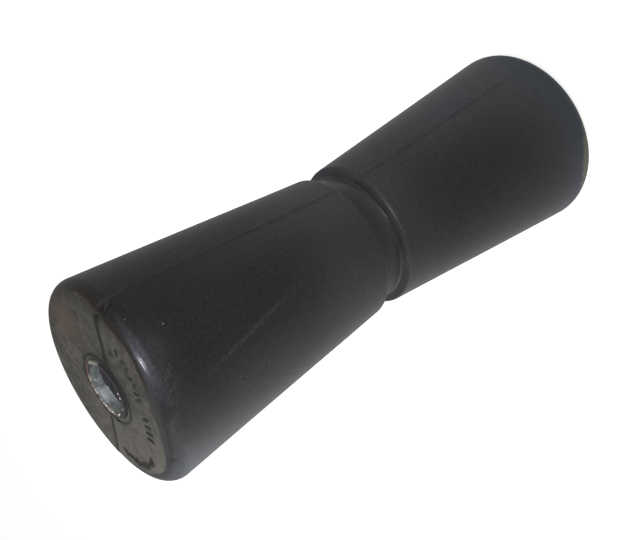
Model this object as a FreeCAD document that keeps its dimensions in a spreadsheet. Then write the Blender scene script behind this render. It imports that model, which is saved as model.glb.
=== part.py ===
import FreeCAD, Part
import math
import os
import Sketcher
from FreeCAD import Placement, Rotation, Vector

# A keel roller for a boat trailer, in millimetres, standing on one end face.
# The origin is the middle of that face, and +Z runs along the bore.
# Two pieces: a rubber moulding, and the steel tube that it is moulded onto.

SIZES = {
    # the rubber, measured where its faces would meet if no edge were rounded
    "roller_length": 300,
    "end_diameter": 106,
    "shoulder_diameter": 80,
    "neck_diameter": 70,
    "neck_mouth": 16.4,
    "neck_floor": 11.6,
    # how far each kind of edge is rounded
    "rim_radius": 8,
    "shoulder_radius": 2,
    "neck_fillet_radius": 1.6,
    # the ridge that the joint of the mould leaves along both sides
    "ridge_width": 1.6,
    "ridge_height": 0.5,
    # the ring round the hub, where the mould's core pin stood
    "ring_diameter": 36,
    "ring_width": 1.4,
    "ring_depth": 0.8,
    "hub_drop": 0.3,
    # the steel tube
    "tube_diameter": 30,
    "tube_wall": 2,
    "tube_length": 300,
    "tube_stand_out": 1,
    "tube_edge_radius": 0.5,
}

RIDGES = 2
FULL_TURN = 360

doc = FreeCAD.newDocument("keel_roller")
sheet = doc.addObject("Spreadsheet::Sheet", "sizes")
for row, (alias, size) in enumerate(SIZES.items(), start=1):
    sheet.set(f"A{row}", alias)
    sheet.set(f"B{row}", str(size))
    sheet.setAlias(f"B{row}", alias)
doc.recompute()


def number(expression):
    """The value of an expression on the sheet's sizes."""
    return float(sheet.evalExpression(expression))


def new_body(label):
    """An empty body whose label names its file."""
    body = doc.addObject("PartDesign::Body", label)
    body.Label = label
    return body


def new_sketch(body, label, plane_role, along="z", height="0"):
    """A sketch on one of the body's own planes, moved along that plane or off it to a height."""
    sketch = body.newObject("Sketcher::SketchObject", label)
    planes = {feature.Role: feature for feature in body.Origin.OriginFeatures}
    sketch.AttachmentSupport = [(planes[plane_role], "")]
    sketch.MapMode = "FlatFace"
    offset = Vector()
    setattr(offset, along, number(height))
    sketch.AttachmentOffset = Placement(offset, Rotation())
    sketch.setExpression(f"AttachmentOffset.Base.{along}", height)
    return sketch


def bind(sketch, kind, *where, size):
    """Adds a constraint whose value follows an expression."""
    index = sketch.addConstraint(Sketcher.Constraint(kind, *where, number(size)))
    sketch.setExpression(f"Constraints[{index}]", size)


def draw_outline(sketch, corners):
    """
    Draws a closed outline against the sketch's upright axis.

    Each corner is (radius, height, rounding), written as expressions. Heights are measured
    from the sketch's origin, up or down as the sign says. The first and last corners lie on
    the axis.
    """
    points = [Vector(number(radius), sign * number(height), 0) for radius, sign, height, _ in corners]
    count = len(points)
    for start in range(count):
        sketch.addGeometry(Part.LineSegment(points[start], points[(start + 1) % count]), False)
    for line in range(count):
        sketch.addConstraint(Sketcher.Constraint("Coincident", line, 2, (line + 1) % count, 1))
    for line, (radius, sign, height, _) in enumerate(corners):
        if radius == "0":
            sketch.addConstraint(Sketcher.Constraint("PointOnObject", line, 1, -2))
        else:
            bind(sketch, "DistanceX", -1, 1, line, 1, size=radius)
        ends = (-1, 1, line, 1) if sign > 0 else (line, 1, -1, 1)
        bind(sketch, "DistanceY", *ends, size=height)
    for line, (_, _, _, rounding) in enumerate(corners):
        if rounding:
            sketch.fillet(line - 1, 2, number(rounding), True, True)
            arc = next(i for i in range(sketch.GeometryCount - 1, -1, -1) if is_arc(sketch, i))
            bind(sketch, "Radius", arc, size=rounding)


def is_arc(sketch, index):
    """True where the sketch's line of that number is an arc."""
    return sketch.Geometry[index].TypeId == "Part::GeomArcOfCircle"


def roller_corners(moved_out):
    """
    The roller's half section, from foot to head, with each corner moved out by a distance.

    Moved out by nothing, it is the rubber. Moved out by the ridge's height, it is the ridge,
    which runs over the head's face, both rims, the cones and the neck in one line. The foot's
    face isn't moved out: the ridge is trimmed flush there, so that the roller stands flat.
    """
    rim = (
        f"sizes.end_diameter / 2 + {moved_out}",
        f"sizes.roller_length / 2 + {moved_out}",
        "sizes.rim_radius",
    )
    shoulder = (
        f"sizes.shoulder_diameter / 2 + {moved_out}",
        f"sizes.neck_mouth / 2 - {moved_out}",
        "sizes.shoulder_radius",
    )
    neck = (
        f"sizes.neck_diameter / 2 + {moved_out}",
        f"sizes.neck_floor / 2 - {moved_out}",
        "sizes.neck_fillet_radius",
    )
    centre = ("0", rim[1], None)
    foot = "sizes.roller_length / 2"
    upper = [(radius, 1, height, rounding) for radius, height, rounding in (neck, shoulder, rim, centre)]
    lower = [(radius, -1, height, rounding) for radius, _, height, rounding in reversed(upper)]
    lower[:2] = [(radius, -1, foot, rounding) for radius, _, _, rounding in lower[:2]]
    return lower + upper


def check_smaller(before, feature, name):
    """Stops the build where a cut has taken nothing away."""
    if feature.Shape.Volume >= before - 1e-3:
        raise RuntimeError(f"{name} cuts nothing")


def make_rubber_roller():
    """The moulding: a turned section, its two ridges, the rings round the hub, and the bore."""
    body = new_body("rubber_roller")
    middle = "sizes.roller_length / 2"

    section = new_sketch(body, "roller_section", "XZ_Plane", along="y", height=middle)
    draw_outline(section, roller_corners("0"))
    turned = body.newObject("PartDesign::Revolution", "turned_section")
    turned.Profile = section
    turned.ReferenceAxis = (section, ["V_Axis"])
    turned.Angle = FULL_TURN
    doc.recompute()

    # The mould parts along the XZ plane, so each ridge is a thin plate on that plane.
    ridge_section = new_sketch(body, "ridge_section", "XZ_Plane", along="y", height=middle)
    draw_outline(ridge_section, roller_corners("sizes.ridge_height"))
    ridge = body.newObject("PartDesign::Pad", "ridge")
    ridge.Profile = ridge_section
    ridge.SideType = "Symmetric"
    ridge.Length = number("sizes.ridge_width")
    ridge.setExpression("Length", "sizes.ridge_width")
    doc.recompute()
    both_ridges = body.newObject("PartDesign::PolarPattern", "both_ridges")
    both_ridges.Originals = [ridge]
    both_ridges.Axis = (ridge_section, ["V_Axis"])
    both_ridges.Angle = FULL_TURN
    both_ridges.Occurrences = RIDGES
    body.Tip = both_ridges
    doc.recompute()

    # The core pin's end trims the ridge, drops the hub's face and leaves a ring round it.
    ring_section = new_sketch(body, "ring_section", "XZ_Plane", along="y", height=middle)
    outer = "sizes.ring_diameter / 2 + sizes.ring_width / 2"
    above_ridge = "sizes.roller_length / 2 + 2 * sizes.ridge_height"
    hub_face = "sizes.roller_length / 2 - sizes.hub_drop"
    draw_outline(
        ring_section,
        [
            ("0", 1, hub_face, None),
            ("sizes.ring_diameter / 2 - sizes.ring_width / 2", 1, hub_face, None),
            ("sizes.ring_diameter / 2", 1, "sizes.roller_length / 2 - sizes.ring_depth", None),
            (outer, 1, "sizes.roller_length / 2", None),
            (outer, 1, above_ridge, None),
            ("0", 1, above_ridge, None),
        ],
    )
    head_ring = body.newObject("PartDesign::Groove", "head_ring")
    head_ring.Profile = ring_section
    head_ring.ReferenceAxis = (ring_section, ["V_Axis"])
    head_ring.Angle = FULL_TURN
    doc.recompute()
    check_smaller(both_ridges.Shape.Volume, head_ring, "the ring at the head")
    both_rings = body.newObject("PartDesign::Mirrored", "both_rings")
    both_rings.Originals = [head_ring]
    both_rings.MirrorPlane = (ring_section, ["H_Axis"])
    body.Tip = both_rings
    doc.recompute()
    check_smaller(head_ring.Shape.Volume, both_rings, "the ring at the foot")

    # The rubber's bore is the outside of the tube, with nothing between them.
    bore_circle = new_sketch(body, "bore_circle", "XY_Plane")
    bore_circle.addGeometry(Part.Circle(Vector(), Vector(0, 0, 1), number("sizes.tube_diameter / 2")), False)
    bore_circle.addConstraint(Sketcher.Constraint("Coincident", 0, 3, -1, 1))
    bind(bore_circle, "Radius", 0, size="sizes.tube_diameter / 2")
    bore = body.newObject("PartDesign::Pocket", "bore")
    bore.Profile = bore_circle
    bore.Type = "ThroughAll"
    bore.SideType = "Symmetric"
    doc.recompute()
    check_smaller(both_rings.Shape.Volume, bore, "the bore")
    return body


def make_steel_tube():
    """The tube: a plain ring section as long as the roller, stood out a little at the head."""
    body = new_body("steel_tube")
    foot = "sizes.roller_length + sizes.tube_stand_out - sizes.tube_length"
    ring = new_sketch(body, "tube_ring", "XY_Plane", along="z", height=foot)
    outside = "sizes.tube_diameter / 2"
    inside = "sizes.tube_diameter / 2 - sizes.tube_wall"
    for index, radius in enumerate((outside, inside)):
        ring.addGeometry(Part.Circle(Vector(), Vector(0, 0, 1), number(radius)), False)
        ring.addConstraint(Sketcher.Constraint("Coincident", index, 3, -1, 1))
        bind(ring, "Radius", index, size=radius)
    wall = body.newObject("PartDesign::Pad", "wall")
    wall.Profile = ring
    wall.Length = number("sizes.tube_length")
    wall.setExpression("Length", "sizes.tube_length")
    doc.recompute()

    # Both ends are cut square and then deburred, inside and out.
    ends = [f"Edge{i}" for i, edge in enumerate(wall.Shape.Edges, start=1) if is_circle(edge)]
    deburred = body.newObject("PartDesign::Fillet", "deburred_ends")
    deburred.Base = (wall, ends)
    deburred.Radius = number("sizes.tube_edge_radius")
    deburred.setExpression("Radius", "sizes.tube_edge_radius")
    doc.recompute()
    check_smaller(wall.Shape.Volume, deburred, "the deburring")
    return body


def is_circle(edge):
    """True where an edge is a whole circle."""
    return isinstance(edge.Curve, Part.Circle) and math.isclose(edge.Length, math.tau * edge.Curve.Radius)


bodies = [make_rubber_roller(), make_steel_tube()]
doc.recompute()

for item in doc.Objects:
    if "Invalid" in item.State or "Error" in item.State:
        raise RuntimeError(f"{item.Label} failed: {item.State}")
for body in bodies:
    if body.Shape.isNull() or not body.Shape.isValid() or len(body.Shape.Solids) != 1:
        raise RuntimeError(f"{body.Label} is not one valid solid")

os.makedirs("parts", exist_ok=True)
for body in bodies:
    body.Shape.exportStep(f"parts/{body.Label}.step")
    box = body.Shape.BoundBox
    print(
        f"{body.Label}: volume {body.Shape.Volume:.1f} mm3,"
        f" {box.XLength:.2f} x {box.YLength:.2f} x {box.ZLength:.2f} mm from z {box.ZMin:.2f}"
    )
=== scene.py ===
import bpy
import numpy as np
from mathutils import Matrix, Vector


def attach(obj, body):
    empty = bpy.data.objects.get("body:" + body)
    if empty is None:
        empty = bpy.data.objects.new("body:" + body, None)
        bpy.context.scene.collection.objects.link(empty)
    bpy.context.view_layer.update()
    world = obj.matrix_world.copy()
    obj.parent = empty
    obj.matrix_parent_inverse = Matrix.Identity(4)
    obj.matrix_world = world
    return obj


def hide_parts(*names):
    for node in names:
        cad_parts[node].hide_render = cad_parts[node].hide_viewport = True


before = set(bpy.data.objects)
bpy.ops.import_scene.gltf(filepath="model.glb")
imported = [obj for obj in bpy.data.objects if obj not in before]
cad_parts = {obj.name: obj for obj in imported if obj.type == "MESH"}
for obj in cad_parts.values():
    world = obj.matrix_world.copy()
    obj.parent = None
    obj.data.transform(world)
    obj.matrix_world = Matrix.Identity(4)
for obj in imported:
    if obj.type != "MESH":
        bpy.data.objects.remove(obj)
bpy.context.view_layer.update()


# The view
# The roller stands on its foot. The camera looks down on its head and is rolled over, so that
# the roller lies across the picture, from the head at lower left to the foot at upper right.
MM = 0.001
VIEW_AZIMUTH = np.radians(52.5)
VIEW_ELEVATION = np.radians(31.14)
VIEW_ROLL = np.radians(-121.84)
VIEW_DISTANCE = 519.2 * MM
VIEW_ASIDE = (-15.65 * MM, -14.35 * MM)
VIEW_AIM = np.array([0, 0, 150 * MM])
LENS, SENSOR = 56.24, 36.0
CLIP_NEAR, CLIP_FAR = 10 * MM, 100.0

view_back = np.array([
    np.sin(VIEW_AZIMUTH) * np.cos(VIEW_ELEVATION),
    -np.cos(VIEW_AZIMUTH) * np.cos(VIEW_ELEVATION),
    np.sin(VIEW_ELEVATION),
])
level = np.cross([0, 0, 1], view_back)
level /= np.linalg.norm(level)
view_right = np.cos(VIEW_ROLL) * level + np.sin(VIEW_ROLL) * np.cross(view_back, level)
view_up = np.cross(view_back, view_right)
view_place = VIEW_AIM + VIEW_DISTANCE * view_back + VIEW_ASIDE[0] * view_right + VIEW_ASIDE[1] * view_up

camera_data = bpy.data.cameras.new("view")
camera_data.lens = LENS
camera_data.sensor_width = SENSOR
camera_data.clip_start = CLIP_NEAR
camera_data.clip_end = CLIP_FAR
camera = bpy.data.objects.new("view", camera_data)
camera.matrix_world = Matrix.Translation(Vector(view_place)) @ Matrix(
    np.column_stack([view_right, view_up, view_back]).tolist()
).to_4x4()
bpy.context.collection.objects.link(camera)
bpy.context.scene.camera = camera
bpy.context.scene.view_settings.view_transform = "Standard"


# The rubber roller
# Black rubber, moulded in one shot round the tube in a mould of two halves: two cones that
# meet at a necked waist. The mould's joint leaves a line of flash down both sides and over
# the head, and its core pin leaves a ring round the hub.
ROLLER_LENGTH = 300 * MM
BORE_RADIUS = 15 * MM
END_RADIUS = 53 * MM
SHOULDER_RADIUS = 40 * MM
NECK_RADIUS = 35 * MM
NECK_MOUTH = 16.4 * MM
NECK_FLOOR = 11.6 * MM
RIM_ROUNDING = 8 * MM
SHOULDER_ROUNDING = 2 * MM
NECK_ROUNDING = 1.6 * MM
RING_RADIUS = 18 * MM
RING_HALF = 0.7 * MM
RING_DEPTH = 0.8 * MM
HUB_DROP = 0.3 * MM
RING_ROUNDING = 0.18 * MM
HUB_ROUNDING = 0.3 * MM


def rounded_outline(corners):
    """
    The points along a closed outline of straight runs joined by round corners.

    A corner is (radius, height, rounding, step of its arc, step of the run that follows it).
    Its arc touches both runs at rounding * tan(turn / 2) from the corner, and its points are
    the arc's centre plus rounding times a direction that turns evenly from one run's normal
    to the other's. Gives places and outward normals, each as (radius, height).
    """
    places, normals = [], []
    table = np.array(corners)
    spot = table[:, :2]
    ahead = np.roll(spot, -1, axis=0) - spot
    length = np.hypot(*ahead.T)
    way = ahead / length[:, None]
    came = np.roll(way, 1, axis=0)
    turn = np.arctan2(came[:, 0] * way[:, 1] - came[:, 1] * way[:, 0], (came * way).sum(1))
    cut = table[:, 2] * np.tan(np.abs(turn) / 2)
    for k, (_, _, rounding, arc_step, run_step) in enumerate(table):
        start_angle = np.arctan2(-came[k, 0], came[k, 1])
        count = max(2, int(np.ceil(rounding * abs(turn[k]) / arc_step)) + 1)
        angle = start_angle + turn[k] * np.linspace(0, 1, count)
        normal = np.column_stack([np.cos(angle), np.sin(angle)])
        side = np.sign(turn[k]) * rounding
        centre = spot[k] - came[k] * cut[k] - side * normal[0]
        places.append(centre + side * normal)
        normals.append(normal)
        run = length[k] - cut[k] - cut[(k + 1) % len(table)]
        share = np.linspace(0, 1, max(2, int(np.ceil(run / run_step)) + 1))[1:-1, None]
        places.append(places[-1][-1] + share * run * way[k])
        normals.append(np.repeat(normal[-1:], len(share), axis=0))
    return np.concatenate(places), np.concatenate(normals)


foot_half = [
    (BORE_RADIUS, HUB_DROP, HUB_ROUNDING, 0.15 * MM, 0.7 * MM),
    (RING_RADIUS - RING_HALF, HUB_DROP, RING_ROUNDING, 0.1 * MM, 0.25 * MM),
    (RING_RADIUS, RING_DEPTH, RING_ROUNDING, 0.1 * MM, 0.25 * MM),
    (RING_RADIUS + RING_HALF, 0, RING_ROUNDING, 0.1 * MM, 1.1 * MM),
    (END_RADIUS, 0, RIM_ROUNDING, 0.75 * MM, 1.5 * MM),
    (SHOULDER_RADIUS, (ROLLER_LENGTH - NECK_MOUTH) / 2, SHOULDER_ROUNDING, 0.2 * MM, 0.6 * MM),
    (NECK_RADIUS, (ROLLER_LENGTH - NECK_FLOOR) / 2, NECK_ROUNDING, 0.2 * MM, 0.7 * MM),
]

# The head's half is the foot's turned over. A run keeps its step, so each step moves on by one
# corner, and the last run goes down the bore.
BORE_STEP = 30 * MM
steps_back = [corner[-1] for corner in reversed(foot_half[:-1])] + [BORE_STEP]
head_half = [
    (across, ROLLER_LENGTH - rise, rounding, arc_step, run_step)
    for (across, rise, rounding, arc_step, _), run_step in zip(reversed(foot_half), steps_back)
]
outline, outline_normal = rounded_outline(foot_half + head_half)


def bell(distance, spread):
    """1 in the middle, falling off as exp(-(distance / spread)^2)."""
    return np.exp(-((distance / spread) ** 2))


ANGLES = 250
FLASH_NARROW, FLASH_WIDE = 2.5, 8.0


def angles_round():
    """
    Angles round the roller in degrees, closer together beside the two lines of flash.

    Their density is 1 + 12 of a narrow bell + 3 of a wide one, of the angle from the nearer
    line, and the angles are even steps of the density's running sum.
    """
    fine = np.linspace(-90, 270, 7201)
    off_line = np.abs((fine + 90) % 180 - 90)
    density = 1 + 12 * bell(off_line, FLASH_NARROW) + 3 * bell(off_line, FLASH_WIDE)
    total = np.concatenate([[0], np.cumsum((density[1:] + density[:-1]) / 2)])
    return np.interp(np.linspace(0, total[-1], ANGLES, endpoint=False), total, fine)


def wavering(along, spacing, seed):
    """A smooth random line from -1 to 1: random knots a spacing apart, joined by 3t^2 - 2t^3."""
    knots = np.random.default_rng(seed).uniform(-1, 1, 512)
    place = along / spacing
    first = np.floor(place).astype(int)
    share = place - first
    share = share * share * (3 - 2 * share)
    return knots[first % 512] * (1 - share) + knots[(first + 1) % 512] * share


def soft_step(value, low, high):
    """0 below low, 1 above high, and 3t^2 - 2t^3 between."""
    t = np.clip((value - low) / (high - low), 0, 1)
    return t * t * (3 - 2 * t)


def from_turn(turn, centre):
    """Degrees from a centre to an angle in radians, the short way."""
    return (np.degrees(turn) - centre + 180) % 360 - 180


radius, height = outline[:, :1], outline[:, 1:]
along = np.cumsum(np.hypot(*np.diff(outline, axis=0, prepend=outline[:1]).T))[:, None]
phi = np.radians(angles_round())[None, :]
degrees = from_turn(phi, 0)
front = np.cos(phi) > 0

# The mould's halves meet on the XZ plane, so a point's distance from the joint is its Y. On the
# head the joint wanders towards the core pin. The joint leaves a ragged bead on the cones, a
# crease over the head, and a small step where the halves don't quite match.
FLASH_HEIGHT = 0.14 * MM
FLASH_HALF = 0.7 * MM
STEP_HEIGHT = 0.1 * MM
STEP_HALF, STEP_REACH = 0.25 * MM, 5 * MM
CREASE_DEPTH = 0.35 * MM
CREASE_HALF = 0.55 * MM
past_ring = soft_step(radius, 19 * MM, 20 * MM)
on_head = soft_step(height, ROLLER_LENGTH - 1 * MM, ROLLER_LENGTH - 0.4 * MM) * past_ring
on_foot = soft_step(-height, -0.6 * MM, -0.1 * MM) * past_ring
off_hub = soft_step(radius, 30 * MM, 34 * MM)
on_side = off_hub * (1 - on_head) * (1 - on_foot)
wander = on_head * np.where(front, -2.6 * MM, 0.6 * MM) * soft_step(-radius, -44 * MM, -24 * MM)
wander = wander + 0.3 * MM * wavering(along, 7 * MM, 3)
joint = radius * np.sin(phi) - wander
ragged = 0.78 + 0.22 * wavering(along + 0.2 * front, 2.6 * MM, 5)
at_neck = bell(height - ROLLER_LENGTH / 2, 11 * MM)
above_foot = soft_step(height, 8 * MM, 26 * MM)
head_cone = soft_step(height, 140 * MM, 170 * MM)
faded = (1 - 0.9 * at_neck) * (0.15 + 0.85 * above_foot) * (0.5 + 0.5 * head_cone)
bead = FLASH_HEIGHT * ragged * bell(joint, FLASH_HALF)
mismatch = STEP_HEIGHT * np.tanh(joint / STEP_HALF) * bell(joint, STEP_REACH)
side_proud = faded * (bead + 1.5 * mismatch) - STEP_HEIGHT
head_proud = mismatch - CREASE_DEPTH * bell(joint, CREASE_HALF) - STEP_HEIGHT
proud = on_side * side_proud + on_head * head_proud

# A lump of flash stands where the joint crosses the head's rim, and the rubber beside it has
# pulled in.
LUMP_HEIGHT = 0.5 * MM
HOLLOW_DEPTH = 2.6 * MM
from_rim = np.hypot(radius - (END_RADIUS - 3 * MM), height - (ROLLER_LENGTH - 2.6 * MM))
lump = LUMP_HEIGHT * bell(from_rim, 3.2 * MM) * bell(joint - 0.2 * MM, 1.2 * MM)
hollow = HOLLOW_DEPTH * bell(from_rim, 4.8 * MM) * bell(joint + 2.3 * MM, 1.9 * MM)
proud = proud + (lump - hollow) * front

# Cooled rubber is never quite round: the cones sink by up to a fifth of a millimetre.
SINKING = 0.18 * MM
KNOTS_ROUND = 18
sunk_round = wavering(phi / (2 * np.pi) * KNOTS_ROUND, 1, 7)
sunk_along = wavering(height, 37 * MM, 11)
proud = proud - SINKING * (0.5 + 0.5 * sunk_round * sunk_along) * on_side


def around_cells(grid):
    """The four corners of each cell of a grid whose last row and column meet its first."""
    right = np.roll(grid, -1, axis=1)
    return np.stack([grid, right, np.roll(right, -1, axis=0), np.roll(grid, -1, axis=0)], axis=-1)


def closed_skin(name, places):
    """A mesh through a grid of places (row, column, xyz) that closes on itself both ways."""
    rows, columns = places.shape[:2]
    number = np.arange(rows * columns).reshape(rows, columns)
    corners = around_cells(number)
    mesh = bpy.data.meshes.new(name)
    mesh.vertices.add(number.size)
    mesh.vertices.foreach_set("co", places.astype(np.float32).ravel())
    mesh.loops.add(corners.size)
    mesh.loops.foreach_set("vertex_index", corners.astype(np.int32).ravel())
    mesh.polygons.add(number.size)
    mesh.polygons.foreach_set("loop_start", np.arange(0, corners.size, 4, dtype=np.int32))
    mesh.update(calc_edges=True)
    mesh.validate()
    mesh.shade_smooth()
    piece = bpy.data.objects.new(name, mesh)
    bpy.context.collection.objects.link(piece)
    return piece


def add_attribute(piece, name, values):
    """Gives each vertex of a piece one number."""
    attribute = piece.data.attributes.new(name, "FLOAT", "POINT")
    attribute.data.foreach_set("value", np.ascontiguousarray(values, np.float32).ravel())


UNROLLED_RADIUS = 45 * MM


def unroll(piece, turn, run):
    """
    A UV map on a closed skin, in metres: across is the angle times a mean radius, and up is the
    distance along the outline. Both go on past the seam, so no cell folds back.
    """
    turn_ahead = np.append(turn[1:], turn[0] + 2 * np.pi)
    run_ahead = np.append(run[1:], 2 * run[-1] - run[-2])
    across = np.stack([turn, turn_ahead, turn_ahead, turn], axis=-1)[None] * UNROLLED_RADIUS
    upward = np.stack([run, run, run_ahead, run_ahead], axis=-1)[:, None]
    places = np.stack(np.broadcast_arrays(across, upward), axis=-1)
    layer = piece.data.uv_layers.new(name="unrolled")
    layer.data.foreach_set("uv", places.astype(np.float32).ravel())


def unrolled_place(angle, distance, rise):
    """The unrolled place of the skin's point nearest to an angle, radius and height."""
    nearest = np.argmin(np.hypot(outline[:, 0] - distance, outline[:, 1] - rise))
    return np.radians((angle + 90) % 360 - 90) * UNROLLED_RADIUS, along[nearest, 0], 0


# A point of the skin is the outline's, moved out along its normal and turned about the axis.
skin_radius = radius + outline_normal[:, :1] * proud
skin_height = height + outline_normal[:, 1:] * proud
skin = np.stack([skin_radius * np.cos(phi), skin_radius * np.sin(phi), skin_height], axis=-1)
rubber_roller = closed_skin("roller_skin", skin)
unroll(rubber_roller, phi[0], along[:, 0])

# Bloom has turned the end faces pale. It reaches a few millimetres over the rim, further at one
# side of the head, and stops short of the rim at another. The attribute is the distance in
# millimetres past where it ends, shrunk at the foot, where the bloom fades out more slowly.
FAR_OFF = 20
taper = np.arctan((END_RADIUS - SHOULDER_RADIUS) / ((ROLLER_LENGTH - NECK_MOUTH) / 2))
face_edge = END_RADIUS - RIM_ROUNDING * np.tan((np.pi / 2 + taper) / 2)
from_end = np.minimum(height, ROLLER_LENGTH - height)
over_rim = np.hypot(radius - face_edge, from_end)
past_face = np.where(radius < face_edge, radius - face_edge, over_rim) / MM
past_face = np.where((radius < face_edge) & (from_end > 2 * MM), FAR_OFF, past_face)
past_flash = soft_step(degrees, -12, 15)
past_dip = soft_step(degrees, -64, -26)
head_reach = 0.7 + (2.4 * past_dip + 2.9 * past_flash) * (1 - soft_step(degrees, 45, 80))
head_reach = head_reach - 4.8 * (1 - past_dip) * soft_step(degrees, -125, -72)
foot_reach = 1.2 + 12 * bell(from_turn(phi, -80), 46)
by_head = height > ROLLER_LENGTH / 2
outside = soft_step(radius, BORE_RADIUS + 0.3 * MM, BORE_RADIUS + 1 * MM)
past_bloom = np.where(by_head, past_face - head_reach, (past_face - foot_reach) / 1.8)
past_bloom = past_bloom + 2 * FAR_OFF * (1 - outside)
add_attribute(rubber_roller, "past_bloom", past_bloom)

# How light the bloom is, where rust has stained it, and the brown line where it ends. The
# bloom's lightness is painted light and shade: lighter towards the head's lower side and on the
# foot, darker where the lamps light the head most and beside the hub, where shade falls.
bloom_light_and_shade = 0.42 + 0.36 * np.cos(phi - np.radians(-125)) * radius / face_edge + 0.6 * (1 - by_head)
bloom_light_and_shade = bloom_light_and_shade - 0.3 * bell(from_turn(phi, -40), 62) - 0.1 * bell(from_turn(phi, 115), 50)
bloom_light_and_shade = bloom_light_and_shade - 0.5 * bell(radius - 17 * MM, 6 * MM) * bell(from_turn(phi, -30), 48)
add_attribute(rubber_roller, "bloom_light_and_shade", bloom_light_and_shade)
off_rust = np.hypot((radius - 36 * MM) / (10 * MM), from_turn(phi, 52) / 16)
add_attribute(rubber_roller, "rust", 0.8 * bell(off_rust, 1) * by_head)
bloom_end = bell(past_bloom - 1.2, 1.6) * soft_step(degrees, -95, -55) * by_head
add_attribute(rubber_roller, "stain", bloom_end)

# Rubbing has polished a band along one side of the head's rim. One attribute is the distance in
# millimetres into that band, and one how much it is rubbed, which also sets how strong a painted
# glow round the rim's highlight is, strongest where the highlight falls.
BAND_END = 9.6
band_start = np.maximum(BAND_END + 0.16 * degrees, 1.2)
pinched = 9 * soft_step(-degrees, 60, 97)
into_band = np.minimum(past_face - band_start, BAND_END - past_face) - pinched
add_attribute(rubber_roller, "into_band", np.where(by_head, np.maximum(into_band, -FAR_OFF), -FAR_OFF))
rubbed_glow = 0.12 + 0.88 * bell(from_turn(phi, -34), 19)
add_attribute(rubber_roller, "rubbed_glow", rubbed_glow * np.ones_like(radius))

# Painted shade darkens the ring's groove, the joint's crease over the head, a second line on the
# head's back, the foot of the flash and the hub, where shade falls in them; the ring's shade is
# wider on one side.
facing = 0.5 + 0.5 * np.cos(phi - np.radians(-50))
ring_half = (0.5 + 0.6 * facing) * MM
ring_share = (0.5 + 0.5 * facing) * (1 - 0.6 * bell(from_turn(phi, -135), 35))
ring_line = bell(radius - RING_RADIUS, ring_half) * ring_share
front_half = 1.6 * MM + 1.5 * MM * soft_step(-radius, -30 * MM, -19 * MM)
joint_line = bell(joint + 0.3 * MM, np.where(front, front_half, 0.95 * MM)) * on_head
on_back = on_head * (1 - front) * soft_step(radius, 28 * MM, 38 * MM)
second_line = 0.6 * bell(joint - 2.5 * MM, 0.4 * MM) * on_back
shade_under_flash = 0.5 * bell(joint + 1.1 * MM, 1.2 * MM) * on_side * above_foot * (1 - 0.9 * at_neck)
shade_under_flash = shade_under_flash * (0.7 + 0.5 * wavering(along, 4 * MM, 35))
on_hub = (height > ROLLER_LENGTH - 1 * MM) * soft_step(-radius, -18 * MM, -17 * MM)
hub_shade = 0.55 * on_hub * bell(from_turn(phi, -35), 55)
crease_shading = ring_line + joint_line + second_line + shade_under_flash + hub_shade
add_attribute(rubber_roller, "crease_shade", np.clip(crease_shading, 0, 1) * outside)

# The neck has kept the mould's gloss, least at the sides and in its fillet by the foot's cone.
FILLET_HEIGHT = 145 * MM
neck_gloss = soft_step(-np.abs(height - ROLLER_LENGTH / 2), -9.6 * MM, -6.6 * MM)
neck_gloss = neck_gloss * (0.1 + 0.9 * soft_step(degrees, -95, -45))
neck_gloss = neck_gloss * (1 - 0.8 * soft_step(degrees, -5, 25))
in_fillet = bell(height - FILLET_HEIGHT, 1.3 * MM)
add_attribute(rubber_roller, "gloss", on_side * neck_gloss * (1 - 0.13 * in_fillet))

# A grey film of wax lies along the joint, and on the cones and the neck in patches. The film
# also carries painted light: its patches lighten the head's cone by the neck, the foot's
# shoulder, the top of the foot's cone and the cones by both rims, where light falls and shines,
# and paint a highlight along the neck's fillet. Each patch is its height and the height's spread
# in millimetres, its angle and the angle's spread in degrees, and how much of the black it hides.
FILM_AND_SHEEN_PATCHES = (
    (184, 24, -40, 90, 0.33),
    (165, 26, -5, 26, 0.5),
    (250, 60, -72, 17, 0.35),
    (292, 9, -48, 25, 0.35),
    (292, 24, -112, 24, 0.8),
    (298, 7, -88, 20, 0.2),
    (291, 7, -30, 9, 0.35),
    (215, 34, -5, 15, 0.35),
    (182, 20, -62, 20, 0.2),
    (142.5, 3, 42, 20, 0.8),
    (143, 1.6, -38, 45, 0.5),
    (145.3, 0.8, -33, 13, 1.0),
    (140, 22, -30, 58, 0.5),
    (70, 70, 4, 26, 0.85),
    (8, 34, -20, 50, 0.8),
    (6, 16, -90, 45, 0.7),
)
film_and_sheen = (0.1 + 0.4 * bell(height - 296 * MM, 12 * MM) * front) * bell(joint - 0.3 * MM, 0.8 * MM)
for rise, rise_spread, angle, angle_spread, share in FILM_AND_SHEEN_PATCHES:
    level_share = share * bell(height - rise * MM, rise_spread * MM)
    film_and_sheen = film_and_sheen + level_share * bell(from_turn(phi, angle), angle_spread)
rubbed_off = soft_step(into_band, -1.5, 3) * soft_step(degrees, -85, -62) * by_head
neck_floor = bell(height - 153 * MM, 5.5 * MM) * soft_step(-degrees, -35, -5)
film_and_sheen = film_and_sheen * (1 - 0.8 * rubbed_off) * (1 - 0.7 * neck_floor)
covered = off_hub * (1 - on_foot) * (1 - 0.6 * on_head)
patchy = 0.88 + 0.12 * wavering(phi * UNROLLED_RADIUS, 9 * MM, 31) * wavering(height, 13 * MM, 33)
add_attribute(rubber_roller, "film_and_sheen", np.clip(film_and_sheen * covered, 0, 1) * patchy)

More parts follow.
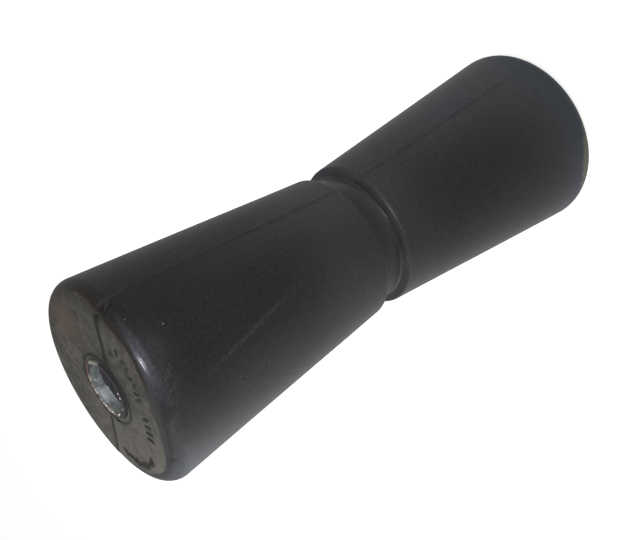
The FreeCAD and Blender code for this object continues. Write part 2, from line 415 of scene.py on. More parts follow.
# The film is painted bluer by the foot, on the foot's cone, by the head's rim and at the neck,
# as a painted bluish sheen of reflected light.
cool_sheen = bell(height, 26 * MM) + 0.6 * bell(height - 70 * MM, 34 * MM) * bell(from_turn(phi, 15), 30)
cool_sheen_by_rim = 0.5 * bell(from_turn(phi, -30), 25) + 0.7 * bell(from_turn(phi, -112), 22)
cool_sheen = cool_sheen + cool_sheen_by_rim * bell(height - 295 * MM, 12 * MM)
cool_sheen = cool_sheen + 0.8 * bell(height - 140 * MM, 7 * MM) * bell(from_turn(phi, 42), 20)
add_attribute(rubber_roller, "cool_sheen", np.clip(cool_sheen, 0, 1) * np.ones_like(phi))


def linear(hex_colour, alpha=1.0):
    """An sRGB hex colour as the linear values that a node takes."""
    srgb = np.array([int(hex_colour[k : k + 2], 16) for k in (1, 3, 5)]) / 255
    low = srgb / 12.92
    high = ((srgb + 0.055) / 1.055) ** 2.4
    return (*np.where(srgb <= 0.04045, low, high).tolist(), alpha)


def add_node(tree, kind, inputs=None, **settings):
    """
    Adds a node with its settings and its links.

    Each of inputs is a value, a socket to link, or a node whose first output is linked.
    """
    node = tree.nodes.new(kind)
    for name, value in settings.items():
        setattr(node, name, value)
    for key, value in (inputs or {}).items():
        if isinstance(value, bpy.types.Node):
            value = next(socket for socket in value.outputs if socket.enabled)
        if isinstance(value, bpy.types.NodeSocket):
            tree.links.new(value, node.inputs[key])
        else:
            node.inputs[key].default_value = value
    return node


def new_material(name):
    """An empty node material and its tree."""
    material = bpy.data.materials.new(name)
    material.use_nodes = True
    material.node_tree.nodes.clear()
    return material, material.node_tree


# Natural rubber filled with carbon black and moulded under heat. It reads as a satin near-black
# with a brown cast, and its edges go pale at a low angle. Wax has bloomed grey on the cones, and
# wax and dust have turned the ends khaki. Painted light lies in its colour too: sheen and a
# highlight in the grey film, a glow in the rim's band, light and shade in the khaki and shade in
# the creases.
rubber, tree = new_material("moulded_black_rubber")
place = add_node(tree, "ShaderNodeTexCoord").outputs["Object"]
unrolled = add_node(tree, "ShaderNodeUVMap", uv_map="unrolled")
marked = {
    name: add_node(tree, "ShaderNodeAttribute", attribute_name=name).outputs["Fac"]
    for name in (
        "past_bloom", "bloom_light_and_shade", "rust", "stain", "into_band", "rubbed_glow", "crease_shade", "gloss", "film_and_sheen", "cool_sheen"
    )
}
BROWN_PATCHES = 45 * MM
broad = add_node(tree, "ShaderNodeTexNoise", {"Vector": place, "Scale": 1 / BROWN_PATCHES, "Detail": 4})
brown_cast = add_node(tree, "ShaderNodeMapRange", {"Value": broad, "From Min": 0.4, "From Max": 0.68})
black = add_node(
    tree,
    "ShaderNodeMix",
    {"Factor": brown_cast, "A": linear("#0b0b0c"), "B": linear("#110f0c")},
    data_type="RGBA",
)

# Grains of wax and dust are far finer than a pixel, so the speckle and the clouds are drawn
# coarser, at 1.4 and 1.8 mm. The clouds break up the film, the band, the scuffs and the bloom's
# edge.
SPECKLE, CLOUDS = 1.4 * MM, 1.8 * MM
fine = add_node(
    tree, "ShaderNodeTexNoise", {"Vector": place, "Scale": 1 / SPECKLE, "Detail": 5, "Roughness": 0.7}
)
speckle = add_node(
    tree, "ShaderNodeMapRange", {"Value": fine, "From Min": 0.4, "From Max": 0.7, "To Max": 0.7}
)
cloudy = add_node(
    tree, "ShaderNodeTexNoise", {"Vector": place, "Scale": 1 / CLOUDS, "Detail": 5, "Roughness": 0.7}
)
cloudiness = add_node(
    tree,
    "ShaderNodeMapRange",
    {"Value": cloudy, "From Min": 0.3, "From Max": 0.7, "To Min": 0.6, "To Max": 1.4},
)
cloudy_film_and_sheen = add_node(
    tree, "ShaderNodeMath", {0: marked["film_and_sheen"], 1: cloudiness}, operation="MULTIPLY", use_clamp=True
)
film_and_sheen_colour = add_node(
    tree,
    "ShaderNodeMix",
    {"Factor": marked["cool_sheen"], "A": linear("#373635"), "B": linear("#2f353c")},
    data_type="RGBA",
)

# The polished band, cloudy with fine rubbing, is painted lighter round the rim's highlight as a
# painted glow. The clouds move its edge by a quarter of a millimetre, and the bloom's edge by
# 0.7 mm.
wobble = add_node(
    tree,
    "ShaderNodeMapRange",
    {"Value": cloudy, "From Min": 0.3, "From Max": 0.7, "To Min": -0.7, "To Max": 0.7},
)
band_edge = add_node(
    tree, "ShaderNodeMath", {0: wobble, 1: 0.35, 2: marked["into_band"]}, operation="MULTIPLY_ADD"
)
polished = add_node(
    tree, "ShaderNodeMapRange", {"Value": band_edge, "From Min": -0.3, "From Max": 1.6}
)
band_clouds = add_node(
    tree,
    "ShaderNodeMapRange",
    {"Value": cloudy, "From Min": 0.3, "From Max": 0.7, "To Min": 0.3, "To Max": 1.1},
)
band_glow_clouds = add_node(
    tree, "ShaderNodeMath", {0: band_clouds, 1: marked["rubbed_glow"]}, operation="MULTIPLY"
)
band_glow_share = add_node(tree, "ShaderNodeMath", {0: polished, 1: band_glow_clouds}, operation="MULTIPLY")


def patch_share(tree, place, middle, turn, half_long, half_wide):
    """
    1 in the middle of a long patch and 0 outside it.

    The place is centred on the patch and turned along it, and each way is divided by the
    patch's half size. The patch fades out from 0.3 to 1 of the distance to its edge.
    """
    centred = add_node(
        tree,
        "ShaderNodeMapping",
        {"Vector": place, "Location": middle, "Rotation": (0, 0, np.radians(turn))},
        vector_type="TEXTURE",
    )
    shares = (1 / half_long, 1 / half_wide, 0)
    shared = add_node(tree, "ShaderNodeVectorMath", {0: centred, 1: shares}, operation="MULTIPLY")
    distance = add_node(tree, "ShaderNodeVectorMath", {0: shared}, operation="LENGTH")
    return add_node(
        tree, "ShaderNodeMapRange", {"Value": distance.outputs["Value"], "From Min": 1, "From Max": 0.3}
    )


# Fine scratches beside the band. Real ones are finer than a pixel, so they are drawn coarser.
SCRATCH_LONG, SCRATCH_WIDE = 2.4 * MM, 0.6 * MM
combed = add_node(
    tree,
    "ShaderNodeVectorMath",
    {0: unrolled, 1: (1 / SCRATCH_LONG, 1 / SCRATCH_WIDE, 0)},
    operation="MULTIPLY",
)
scratch_noise = add_node(
    tree, "ShaderNodeTexNoise", {"Vector": combed, "Scale": 1, "Detail": 4, "Roughness": 0.7}
)
scratches = add_node(
    tree, "ShaderNodeMapRange", {"Value": scratch_noise, "From Min": 0.5, "From Max": 0.66}
)
scratched_middle = unrolled_place(-49, 52.3 * MM, 292 * MM)
scratched = patch_share(tree, unrolled, scratched_middle, -15, 19 * MM, 4.5 * MM)
worn = add_node(tree, "ShaderNodeMath", {0: scratches, 1: scratched}, operation="MULTIPLY")

# Scuffs on the head's cone. Each is its angle in degrees, its radius and height in millimetres,
# its turn in degrees from the way round the roller to the way up it, and half of its length and
# half of its width in millimetres.
SCUFFS = (
    (-51.6, 47.8, 244.0, 99.5, 42, 1.7),
    (-64.3, 52.6, 292.5, 60, 1.8, 0.8),
    (-74.5, 52.6, 294.5, 30, 1.3, 0.9),
    (-87.5, 52.6, 294.0, 80, 3.0, 0.9),
)
broken = add_node(
    tree, "ShaderNodeMapRange", {"Value": cloudy, "From Min": 0.4, "From Max": 0.65, "To Max": 0.4}
)
for angle, distance, rise, turn, half_long, half_wide in SCUFFS:
    middle = unrolled_place(angle, distance * MM, rise * MM)
    scuff = patch_share(tree, unrolled, middle, turn, half_long * MM, half_wide * MM)
    broken_scuff = add_node(tree, "ShaderNodeMath", {0: scuff, 1: broken}, operation="MULTIPLY")
    worn = add_node(tree, "ShaderNodeMath", {0: worn, 1: broken_scuff}, operation="MAXIMUM")

# Specks of dust, each where a cell's point comes within a third of a millimetre of the skin.
SPECK_CELL, SPECK_HALF = 14 * MM, 0.36 * MM
cells = add_node(tree, "ShaderNodeTexVoronoi", {"Vector": place, "Scale": 1 / SPECK_CELL})
speck_edge = SPECK_HALF / SPECK_CELL
speck = add_node(
    tree,
    "ShaderNodeMapRange",
    {"Value": cells.outputs["Distance"], "From Min": speck_edge, "From Max": 0.4 * speck_edge},
)

# The bloom, mottled in patches of two sizes, rusty in one place and ragged at its edge. Its
# lightness carries the painted light and shade.
MOTTLE, BROAD_MOTTLE = 5 * MM, 16 * MM
dust = add_node(
    tree, "ShaderNodeTexNoise", {"Vector": place, "Scale": 1 / MOTTLE, "Detail": 8, "Roughness": 0.7}
)
mottle = add_node(
    tree,
    "ShaderNodeMapRange",
    {"Value": dust, "From Min": 0.25, "From Max": 0.75, "To Min": -0.5, "To Max": 0.5},
)
broad_dust = add_node(
    tree, "ShaderNodeTexNoise", {"Vector": place, "Scale": 1 / BROAD_MOTTLE, "Detail": 3}
)
broad_mottle = add_node(
    tree,
    "ShaderNodeMapRange",
    {"Value": broad_dust, "From Min": 0.3, "From Max": 0.7, "To Min": -0.22, "To Max": 0.22},
)
both_mottles = add_node(tree, "ShaderNodeMath", {0: mottle, 1: broad_mottle}, operation="ADD")
lightness = add_node(
    tree, "ShaderNodeMath", {0: marked["bloom_light_and_shade"], 1: both_mottles}, operation="ADD", use_clamp=True
)
khaki = add_node(
    tree,
    "ShaderNodeMix",
    {"Factor": lightness, "A": linear("#32302a"), "B": linear("#5b5850")},
    data_type="RGBA",
)
rusty_khaki = add_node(
    tree,
    "ShaderNodeMix",
    {"Factor": marked["rust"], "A": khaki, "B": linear("#453831")},
    data_type="RGBA",
)
bloom_edge = add_node(tree, "ShaderNodeMath", {0: marked["past_bloom"], 1: wobble}, operation="ADD")
bloom = add_node(tree, "ShaderNodeMapRange", {"Value": bloom_edge, "From Min": 0.45, "From Max": -0.45})

# Crumbs of grit that have stuck to the rubber. Each is its angle in degrees, and its radius, its
# height and half of its size in millimetres.
GRIT = (
    (-25.7, 51.3, 281.3, 0.5),
    (-14.8, 52.4, 293.8, 0.3),
    (52.8, 22.7, 300.0, 0.6),
    (151.0, 25.9, 300.0, 0.9),
)
grit = 0.0
for angle, distance, rise, half in GRIT:
    middle = unrolled_place(angle, distance * MM, rise * MM)
    crumb = patch_share(tree, unrolled, middle, 0, half * MM, half * MM)
    grit = add_node(tree, "ShaderNodeMath", {0: grit, 1: crumb}, operation="MAXIMUM")

# Painted shade in the hollow beside the lump of flash, and dirt: smudges beside the marks, a
# scratch on the face, a nick in the rim and a spot on the ring. Each is as a scuff is, and how
# much it hides comes last.
DIRT_AND_SHADE_PATCHES = (
    (-3.2, 52.7, 297.0, 88, 6.0, 1.5, 1.0),
    (-5.0, 52.4, 294.5, 90, 4.0, 3.0, 0.6),
    (-16.0, 31.0, 300, 20, 6.0, 3.0, 0.6),
    (-38.0, 34.0, 300, 25, 20.0, 5.0, 0.3),
    (26.7, 39.1, 300, 125, 8.0, 0.9, 0.9),
    (-98.3, 47.0, 299.5, -50, 5.0, 1.6, 1.0),
    (-163.0, 18.3, 300, 0, 4.5, 1.0, 1.0),
)
dirt_and_shade = marked["crease_shade"]
for angle, distance, rise, turn, half_long, half_wide, hiding in DIRT_AND_SHADE_PATCHES:
    middle = unrolled_place(angle, distance * MM, rise * MM)
    patch = patch_share(tree, unrolled, middle, turn, half_long * MM, half_wide * MM)
    darkening = add_node(tree, "ShaderNodeMath", {0: patch, 1: hiding}, operation="MULTIPLY")
    dirt_and_shade = add_node(tree, "ShaderNodeMath", {0: dirt_and_shade, 1: darkening}, operation="MAXIMUM")

# What lies on the black, from the lowest up. The film holds painted sheen, the band a painted
# glow, the bloom painted light and shade, and the last coat painted shade as well as dirt.
colour = black
for share, coat in (
    (speckle, linear("#272624")),
    (cloudy_film_and_sheen, film_and_sheen_colour),
    (marked["stain"], linear("#160f0a")),
    (band_glow_share, linear("#44444a")),
    (worn, linear("#464541")),
    (speck, linear("#5f5d55")),
    (bloom, rusty_khaki),
    (grit, linear("#7f7c70")),
    (dirt_and_shade, linear("#141312")),
):
    colour = add_node(tree, "ShaderNodeMix", {"Factor": share, "A": colour, "B": coat}, data_type="RGBA")

# Moulded rubber is satin, the band and the neck shine, and the bloom is powdery. The mould's
# grain is finer than a pixel, so it is drawn at 1.2 mm.
SATIN, POLISHED, POWDERY = 0.58, 0.1, 0.85
GRAIN, GRAIN_RISE = 1.2 * MM, 0.04 * MM
cloudy_gloss = add_node(
    tree,
    "ShaderNodeMapRange",
    {"Value": cloudy, "From Min": 0.35, "From Max": 0.65, "To Min": 0.66, "To Max": 0.94},
)
band_gloss = add_node(tree, "ShaderNodeMath", {0: polished, 1: cloudy_gloss}, operation="MULTIPLY")
shiny = add_node(tree, "ShaderNodeMath", {0: marked["gloss"], 1: band_gloss}, operation="MAXIMUM")
black_roughness = add_node(
    tree, "ShaderNodeMapRange", {"Value": shiny, "To Min": SATIN, "To Max": POLISHED}
)
roughness = add_node(
    tree, "ShaderNodeMapRange", {"Value": bloom, "To Min": black_roughness, "To Max": POWDERY}
)
grain = add_node(tree, "ShaderNodeTexNoise", {"Vector": place, "Scale": 1 / GRAIN, "Detail": 5})
relief = add_node(tree, "ShaderNodeMapRange", {"Value": shiny, "To Min": 0.6, "To Max": 0.4})
bump = add_node(tree, "ShaderNodeBump", {"Height": grain, "Strength": relief, "Distance": GRAIN_RISE})
shader = add_node(
    tree,
    "ShaderNodeBsdfPrincipled",
    {
        "Base Color": colour,
        "Roughness": roughness,
        "IOR": 1.5,
        "Specular IOR Level": 0.15,
        "Normal": bump,
    },
)
add_node(tree, "ShaderNodeOutputMaterial", {"Surface": shader})
rubber_roller.data.materials.append(rubber)
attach(rubber_roller, "root")
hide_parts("rubber_roller")


# The marks on the head's face
# Small plain bars that the mould raises on the rubber's end face, in two rows and a fan. Their
# tops are rubbed clean of bloom, so they stay darker than the face.
MARK_RISE = 0.45 * MM
MARK_SINK = 0.6 * MM
MARK_HALF_WIDTH = 0.85 * MM
BUMP_SIDES = 14


def small_bumps(name, centres, first_way, second_way, rise, sink):
    """
    One mesh of many low closed bumps.

    A bump is its centre + cos(t) cos(a)^0.6 first_way + cos(t) sin(a)^0.6 second_way
    + sin(t) rise, or + sin(t) sink where t is below 0. The powers keep their signs, a goes
    round the bump, and t from its underside to its top.
    """
    lift = np.radians([-90, -35, 0, 30, 60, 90])[None, :, None, None]
    turn = (np.arange(BUMP_SIDES) / BUMP_SIDES * 2 * np.pi)[None, None, :, None]
    across = np.sign(np.cos(turn)) * np.abs(np.cos(turn)) ** 0.6
    onward = np.sign(np.sin(turn)) * np.abs(np.sin(turn)) ** 0.6
    flat = np.maximum(np.cos(lift), 0.02)
    up_down = np.where(lift < 0, sink[:, None, None], rise[:, None, None]) * np.sin(lift)
    places = (
        centres[:, None, None]
        + flat * across * first_way[:, None, None]
        + flat * onward * second_way[:, None, None]
        + up_down
    )
    bumps, rows, sides = places.shape[:3]
    number = np.arange(bumps * rows * sides).reshape(bumps, rows, sides)
    beside = np.roll(number, -1, axis=2)
    walls = np.stack([number[:, :-1], beside[:, :-1], beside[:, 1:], number[:, 1:]], axis=-1)
    caps = [*number[:, 0, ::-1].tolist(), *number[:, -1].tolist()]
    mesh = bpy.data.meshes.new(name)
    mesh.from_pydata(places.reshape(-1, 3).tolist(), [], [*walls.reshape(-1, 4).tolist(), *caps])
    mesh.validate()
    mesh.shade_smooth()
    piece = bpy.data.objects.new(name, mesh)
    bpy.context.collection.objects.link(piece)
    return piece


def on_face(ring, turn, half_long, half_wide, lean):
    """Places on the head's face, and each bar's long and wide ways, leaning from the radius."""
    angle = np.radians(turn)
    way = angle + np.radians(lean)
    face_height = np.full(len(turn), ROLLER_LENGTH)
    spots = np.column_stack([ring * np.cos(angle), ring * np.sin(angle), face_height])
    long_way = half_long[:, None] * np.column_stack([np.cos(way), np.sin(way), 0 * way])
    wide_way = half_wide * np.column_stack([-np.sin(way), np.cos(way), 0 * way])
    return spots, long_way, wide_way


# The bars of the long row, the short row and the fan: their radii, angles, half lengths and leans.
row, short_row, fan = np.arange(7), np.arange(4), np.arange(10)
mark_ring = [36.6 - 1.1 * row, 30 + 0.9 * short_row, 38.6 + 2.4 * np.sin(fan * 0.35)]
mark_turn = [-21.5 - 6.5 * row, -80.5 - 7.2 * short_row, -127 - 4.4 * fan]
mark_long = [2.8 - 0.6 * (row % 2), 3.1 + 0 * short_row, 2.7 - 0.6 * (fan % 3)]
mark_lean = [20 * (-1.0) ** row, 28 + 0 * short_row, 6 * fan - 20]
mark_places, mark_long_ways, mark_wide_ways = on_face(
    np.concatenate(mark_ring) * MM,
    np.concatenate(mark_turn),
    np.concatenate(mark_long) * MM,
    MARK_HALF_WIDTH,
    np.concatenate(mark_lean),
)
upward = np.tile([0.0, 0.0, 1.0], (len(mark_places), 1))
face_marks = small_bumps(
    "face_marks", mark_places, mark_long_ways, mark_wide_ways, MARK_RISE * upward, MARK_SINK * upward
)

# The same moulded rubber with its bloom rubbed off. It reads as a dull brownish black.
clean_rubber, tree = new_material("rubbed_black_rubber")
shader = add_node(
    tree,
    "ShaderNodeBsdfPrincipled",
    {"Base Color": linear("#151311"), "Roughness": 0.6, "IOR": 1.5, "Specular IOR Level": 0.2},
)
add_node(tree, "ShaderNodeOutputMaterial", {"Surface": shader})
face_marks.data.materials.append(clean_rubber)
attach(face_marks, "root")
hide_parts("rubber_roller")


# The steel tube
# Welded steel tube, cut square and hot-dip galvanised inside and out. It lines the bore, and
# the rubber is moulded onto it. Zinc has run into lumps round its cut end.
TUBE_RADIUS = 15 * MM
TUBE_BORE = 13 * MM
TUBE_FOOT, TUBE_HEAD = 1 * MM, 301 * MM
TUBE_ROUNDING = 0.5 * MM
TUBE_ANGLES = 192

tube_outline, tube_normal = rounded_outline([
    (TUBE_BORE, TUBE_FOOT, TUBE_ROUNDING, 0.15 * MM, 0.3 * MM),
    (TUBE_RADIUS, TUBE_FOOT, TUBE_ROUNDING, 0.15 * MM, 30 * MM),
    (TUBE_RADIUS, TUBE_HEAD, TUBE_ROUNDING, 0.15 * MM, 0.3 * MM),
    (TUBE_BORE, TUBE_HEAD, TUBE_ROUNDING, 0.15 * MM, 1.5 * MM),
])
tube_phi = np.linspace(-np.pi, np.pi, TUBE_ANGLES, endpoint=False)[None, :]
tube_run = tube_phi * TUBE_RADIUS
tube_r, tube_z = tube_outline[:, :1], tube_outline[:, 1:]
at_end = soft_step(tube_z, TUBE_HEAD - 4 * MM, TUBE_HEAD - 0.6 * MM)

# The zinc is uneven, by 0.06 mm either way, and nowhere stands past the tube's plain size.
ZINC_UNEVEN = 0.06 * MM
zinc = ZINC_UNEVEN * (-1 - wavering(tube_run + 0.1 * tube_z, 2.5 * MM, 21))

# The tube's weld stands a little inside the bore, and zinc has set in a drop on the end's edge.
# The drop is a bell with a flat top.
WELD_TURN, WELD_HEIGHT = 137, 0.45 * MM
DROP_TURN, DROP_HEIGHT = 32, 0.6 * MM
past_weld = from_turn(tube_phi, WELD_TURN)
weld = WELD_HEIGHT * bell(past_weld, 3) * (tube_r < TUBE_BORE + 0.3 * MM)
drop_size = bell((from_turn(tube_phi, DROP_TURN) / 17) ** 2, 1)
drop = DROP_HEIGHT * drop_size * at_end * (tube_r < TUBE_BORE + 0.6 * MM)
zinc_r = tube_r + tube_normal[:, :1] * (zinc + weld) - drop
zinc_z = tube_z + tube_normal[:, 1:] * zinc
tube_skin = np.stack([zinc_r * np.cos(tube_phi), zinc_r * np.sin(tube_phi), zinc_z], axis=-1)
steel_tube = closed_skin("tube_skin", tube_skin)

# The cut end has lost its zinc: it is brown all round, but for the inner edge on one side. The
# bore's edge on the side across from it is painted dark brown for shade.
ragged_edge = 0.35 * MM * wavering(tube_run, 1.6 * MM, 23)
on_end = soft_step(tube_z, TUBE_HEAD - 0.75 * MM, TUBE_HEAD - 0.35 * MM) * np.ones_like(tube_phi)
on_outside = soft_step(tube_r, 14.3 * MM, 14.6 * MM) * at_end
kept_side = soft_step(-np.abs(from_turn(tube_phi, 160)), -75, -55)
kept_edge = soft_step(-tube_r, -13.8 * MM + ragged_edge, -13.3 * MM + ragged_edge)
kept = on_end * kept_side * (0.5 + 0.5 * wavering(tube_run, 1.1 * MM, 25)) * kept_edge
depth = TUBE_HEAD - tube_z
near_lip = (tube_r < TUBE_BORE + 0.6 * MM) * soft_step(-depth, -3 * MM, -2 * MM)
shaded_lip = 1.7 * near_lip * bell(from_turn(tube_phi, -30), 75)
brown_end = np.maximum(on_end, on_outside) * (1 - kept) * (1 - 0.95 * drop_size)
add_attribute(steel_tube, "brown_and_shade", np.clip(brown_end + shaded_lip, 0, 1))
add_attribute(steel_tube, "rust", on_end * bell(from_turn(tube_phi, 84), 24) * (tube_r > 13.6 * MM))
add_attribute(steel_tube, "drop", np.maximum(at_end, on_end) * drop_size * (depth < 2.5 * MM))
add_attribute(steel_tube, "kept", kept)

# The distance in millimetres past the line where the bore is painted dark for the rim's shadow,
# and how dull the zinc is painted away from a painted glint where the wall faces the lamps.
in_bore = tube_r < TUBE_BORE + 0.4 * MM
rim_shadow_depth = 5.6 * MM + 0.7 * MM * soft_step(past_weld, -1, 1)
add_attribute(steel_tube, "past_rim_shadow", np.where(in_bore, depth - rim_shadow_depth, -5 * MM) / MM)
painted_glint = np.where(past_weld > 0, bell(past_weld, 34), 0.45 * bell(past_weld, 22))
add_attribute(steel_tube, "dull_off_glint", in_bore * (1 - painted_glint))

# Zinc on steel, dulled by weather to a patina that scatters light more than bare metal would.
# It reads as pale grey with a cloudy spangle. The zinc drop has yellowed, and the cut end is
# brown and pitted with scale. The deep bore is painted dark for the rim's shadow and pitted
# too, the bore's wall is painted dull beside a painted glint, and its lip painted dark brown
# for shade.
SPANGLE, ZINC_CLOUDS = 2.2 * MM, 0.9 * MM
SCALE_BLOTCHES, PITS, PIT_DEPTH = 1.4 * MM, 1.1 * MM, 0.5 * MM
galvanised, tree = new_material("hot_dip_galvanised_steel")
place = add_node(tree, "ShaderNodeTexCoord").outputs["Object"]
marked = {
    name: add_node(tree, "ShaderNodeAttribute", attribute_name=name).outputs["Fac"]
    for name in ("brown_and_shade", "rust", "drop", "kept", "past_rim_shadow", "dull_off_glint")
}
spangle = add_node(tree, "ShaderNodeTexVoronoi", {"Vector": place, "Scale": 1 / SPANGLE})
grey_of_cell = add_node(tree, "ShaderNodeSeparateColor", {"Color": spangle.outputs["Color"]})
spangled = add_node(
    tree,
    "ShaderNodeMix",
    {"Factor": grey_of_cell, "A": linear("#848c8f"), "B": linear("#dbe2e5")},
    data_type="RGBA",
)
cloud = add_node(tree, "ShaderNodeTexNoise", {"Vector": place, "Scale": 1 / ZINC_CLOUDS, "Detail": 6})
clouded = add_node(
    tree,
    "ShaderNodeMapRange",
    {"Value": cloud, "From Min": 0.4, "From Max": 0.6, "To Min": 1.05, "To Max": 0.65},
)
dull_off_glint_share = add_node(
    tree, "ShaderNodeMath", {0: marked["dull_off_glint"], 1: clouded}, operation="MULTIPLY", use_clamp=True
)
cloud_share = add_node(
    tree, "ShaderNodeMapRange", {"Value": cloud, "From Min": 0.42, "From Max": 0.62, "To Max": 0.55}
)
yellowed = add_node(
    tree,
    "ShaderNodeMix",
    {"Factor": cloud_share, "A": linear("#6f6c54"), "B": linear("#403d30")},
    data_type="RGBA",
)
blotch = add_node(
    tree, "ShaderNodeTexNoise", {"Vector": place, "Scale": 1 / SCALE_BLOTCHES, "Detail": 4}
)
blotch_share = add_node(tree, "ShaderNodeMapRange", {"Value": blotch, "From Min": 0.5, "From Max": 0.75})
scale_colour = add_node(
    tree,
    "ShaderNodeMix",
    {"Factor": blotch_share, "A": linear("#2c2a2c"), "B": linear("#3c2e26")},
    data_type="RGBA",
)
frayed = add_node(tree, "ShaderNodeMapRange", {"Value": cloud, "To Min": -0.25, "To Max": 0.25})
deep_shadow_edge = add_node(tree, "ShaderNodeMath", {0: marked["past_rim_shadow"], 1: frayed}, operation="ADD")
deep_shadow = add_node(tree, "ShaderNodeMapRange", {"Value": deep_shadow_edge, "From Min": -0.1, "From Max": 0.1})

# What lies on the spangled zinc, from the lowest up. The dull zinc, the deep bore and the
# lip's brown are painted light and shade.
zinc_colour = spangled
for share, coat in (
    (dull_off_glint_share, linear("#62665d")),
    (cloud_share, linear("#7c8386")),
    (marked["drop"], yellowed),
    (deep_shadow, linear("#4b484b")),
    (marked["brown_and_shade"], scale_colour),
    (marked["rust"], linear("#5f4334")),
    (marked["kept"], linear("#a3988c")),
):
    zinc_colour = add_node(
        tree, "ShaderNodeMix", {"Factor": share, "A": zinc_colour, "B": coat}, data_type="RGBA"
    )

rough_share = add_node(tree, "ShaderNodeMath", {0: marked["brown_and_shade"], 1: deep_shadow}, operation="MAXIMUM")
metallic = add_node(tree, "ShaderNodeMapRange", {"Value": rough_share, "To Min": 0.1, "To Max": 0.0})
roughness = add_node(tree, "ShaderNodeMapRange", {"Value": rough_share, "To Min": 0.4, "To Max": 0.9})
pits = add_node(tree, "ShaderNodeTexNoise", {"Vector": place, "Scale": 1 / PITS, "Detail": 3})
pit_strength = add_node(tree, "ShaderNodeMapRange", {"Value": rough_share, "To Min": 0.1, "To Max": 0.8})
pitted = add_node(
    tree, "ShaderNodeBump", {"Height": pits, "Strength": pit_strength, "Distance": PIT_DEPTH}
)
shader = add_node(
    tree,
    "ShaderNodeBsdfPrincipled",
    {
        "Base Color": zinc_colour,
        "Metallic": metallic,
        "Roughness": roughness,
        "Specular IOR Level": 0.2,
        "Normal": pitted,
    },
)
add_node(tree, "ShaderNodeOutputMaterial", {"Surface": shader})
steel_tube.data.materials.append(galvanised)
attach(steel_tube, "root")
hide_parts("steel_tube")


# The white rust
# Crumbs of zinc salt that have grown where the zinc was wet, most of them on the tube's inner
# edge at the head. They are chalky, and stand up to 0.7 mm off the zinc.
CRUMB_HALF_HEIGHT = 0.32 * MM
CRUMB_SINK = 0.3 * MM

# Each crumb's angle, its depth down the bore, half of its length round it and its rise.
crumb_turn = np.radians([-58, -69, -135, -165, 170, 150, 137, 112, -100])
crumb_depth = np.array([0.36, 0.36, 0.36, 0.36, 0.4, 2.4, 5.0, 2.2, 0.36]) * MM
crumb_long = np.array([0.7, 0.6, 0.7, 0.5, 0.6, 0.45, 0.5, 0.3, 0.4]) * MM
crumb_rise = np.array([0.7, 0.6, 0.6, 0.5, 0.5, 0.35, 0.35, 0.25, 0.5]) * MM
outward = np.column_stack([np.cos(crumb_turn), np.sin(crumb_turn), 0 * crumb_turn])
sideways = np.column_stack([-np.sin(crumb_turn), np.cos(crumb_turn), 0 * crumb_turn])
upright = np.tile([0.0, 0.0, 1.0], (len(crumb_turn), 1))
white_rust = small_bumps(
    "white_rust",
    outward * (TUBE_BORE + 0.1 * MM) + upright * (TUBE_HEAD - crumb_depth)[:, None],
    sideways * crumb_long[:, None],
    -upright * CRUMB_HALF_HEIGHT,
    -outward * crumb_rise[:, None],
    -outward * CRUMB_SINK,
)

# Zinc salt: a chalk that scatters all light, so it reads as a dull white.
zinc_salt, tree = new_material("chalky_zinc_salt")
shader = add_node(
    tree, "ShaderNodeBsdfPrincipled", {"Base Color": linear("#d9d5c6"), "Roughness": 0.7, "IOR": 1.5}
)
add_node(tree, "ShaderNodeOutputMaterial", {"Surface": shader})
white_rust.data.materials.append(zinc_salt)
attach(white_rust, "root")
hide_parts("steel_tube")


# The floor and the light
# A plain pale floor under the foot and a pale world round it. A soft lamp stands by the lens,
# two small ones above the head shine in the rim and the neck, and two large ones edge the side
# of the cones that is lowest in the picture.
FLOOR_HALF = 6.0
FLOOR_GLOW = 0.7
WORLD_LIGHT = 0.35
floor_corners = [(x * FLOOR_HALF, y * FLOOR_HALF, 0) for x, y in ((-1, -1), (1, -1), (1, 1), (-1, 1))]
floor_mesh = bpy.data.meshes.new("floor")
floor_mesh.from_pydata(floor_corners, [], [(0, 1, 2, 3)])
floor = bpy.data.objects.new("floor", floor_mesh)
bpy.context.collection.objects.link(floor)


def seen_share(tree):
    """1 for a ray from the camera, or one that a shiny or clear surface sends on, and else 0."""
    rays = add_node(tree, "ShaderNodeLightPath").outputs
    seen = rays["Is Camera Ray"]
    for sent_on in (rays["Is Glossy Ray"], rays["Is Transmission Ray"]):
        seen = add_node(tree, "ShaderNodeMath", {0: seen, 1: sent_on}, operation="MAXIMUM")
    return seen


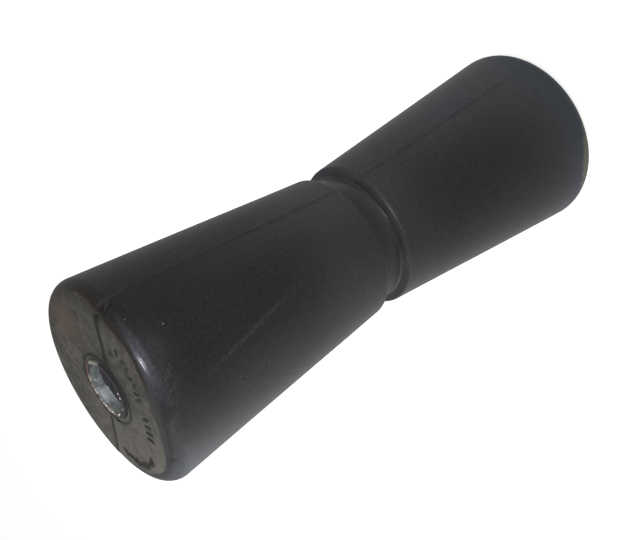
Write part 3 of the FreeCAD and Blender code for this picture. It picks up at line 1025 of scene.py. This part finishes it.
# Matt floor paint. It reads as an even near-white that keeps the object's soft shadow.
painted_floor, tree = new_material("painted_floor")
matt = add_node(tree, "ShaderNodeBsdfDiffuse", {"Color": linear("#e6e6e4")})
glow = add_node(tree, "ShaderNodeMath", {0: seen_share(tree), 1: FLOOR_GLOW}, operation="MULTIPLY")
white = add_node(tree, "ShaderNodeEmission", {"Color": linear("#ffffff"), "Strength": glow})
both = add_node(tree, "ShaderNodeAddShader", {0: matt, 1: white})
add_node(tree, "ShaderNodeOutputMaterial", {"Surface": both})
floor_mesh.materials.append(painted_floor)

world = bpy.data.worlds.new("studio")
bpy.context.scene.world = world
world.use_nodes = True
tree = world.node_tree
tree.nodes.clear()
strength = add_node(
    tree, "ShaderNodeMapRange", {"Value": seen_share(tree), "To Min": WORLD_LIGHT, "To Max": 1.0}
)
sky = add_node(tree, "ShaderNodeBackground", {"Color": linear("#ffffff"), "Strength": strength})
add_node(tree, "ShaderNodeOutputWorld", {"Surface": sky})


def add_lamp(name, place, aim, size, power, colour):
    """A round soft lamp at a place, turned to an aim. The camera doesn't see it."""
    data = bpy.data.lights.new(name, "AREA")
    data.shape = "DISK"
    data.size = size
    data.energy = power
    data.color = linear(colour)[:3]
    lamp = bpy.data.objects.new(name, data)
    lamp.location = place
    lamp.rotation_mode = "QUATERNION"
    lamp.rotation_quaternion = (Vector(aim) - Vector(place)).to_track_quat("-Z", "Y")
    lamp.visible_camera = False
    bpy.context.collection.objects.link(lamp)


UPPER_AIM = (0, 0, 0.25)
add_lamp("flash", view_place + 85 * MM * view_up, VIEW_AIM, 0.3, 0.8, "#ffffff")
add_lamp("window", (0.137, -0.087, 0.760), VIEW_AIM, 0.07, 1.2, "#eceff8")
add_lamp("low_window", (0.223, -0.137, 0.722), VIEW_AIM, 0.05, 0.7, "#eceff8")
add_lamp("low_side", (-0.6, -0.5, 0.62), UPPER_AIM, 1.0, 7.0, "#f0f0ff")
add_lamp("table_side", (-0.65, -0.4, 0.12), UPPER_AIM, 0.5, 3.6, "#f6f6ff")
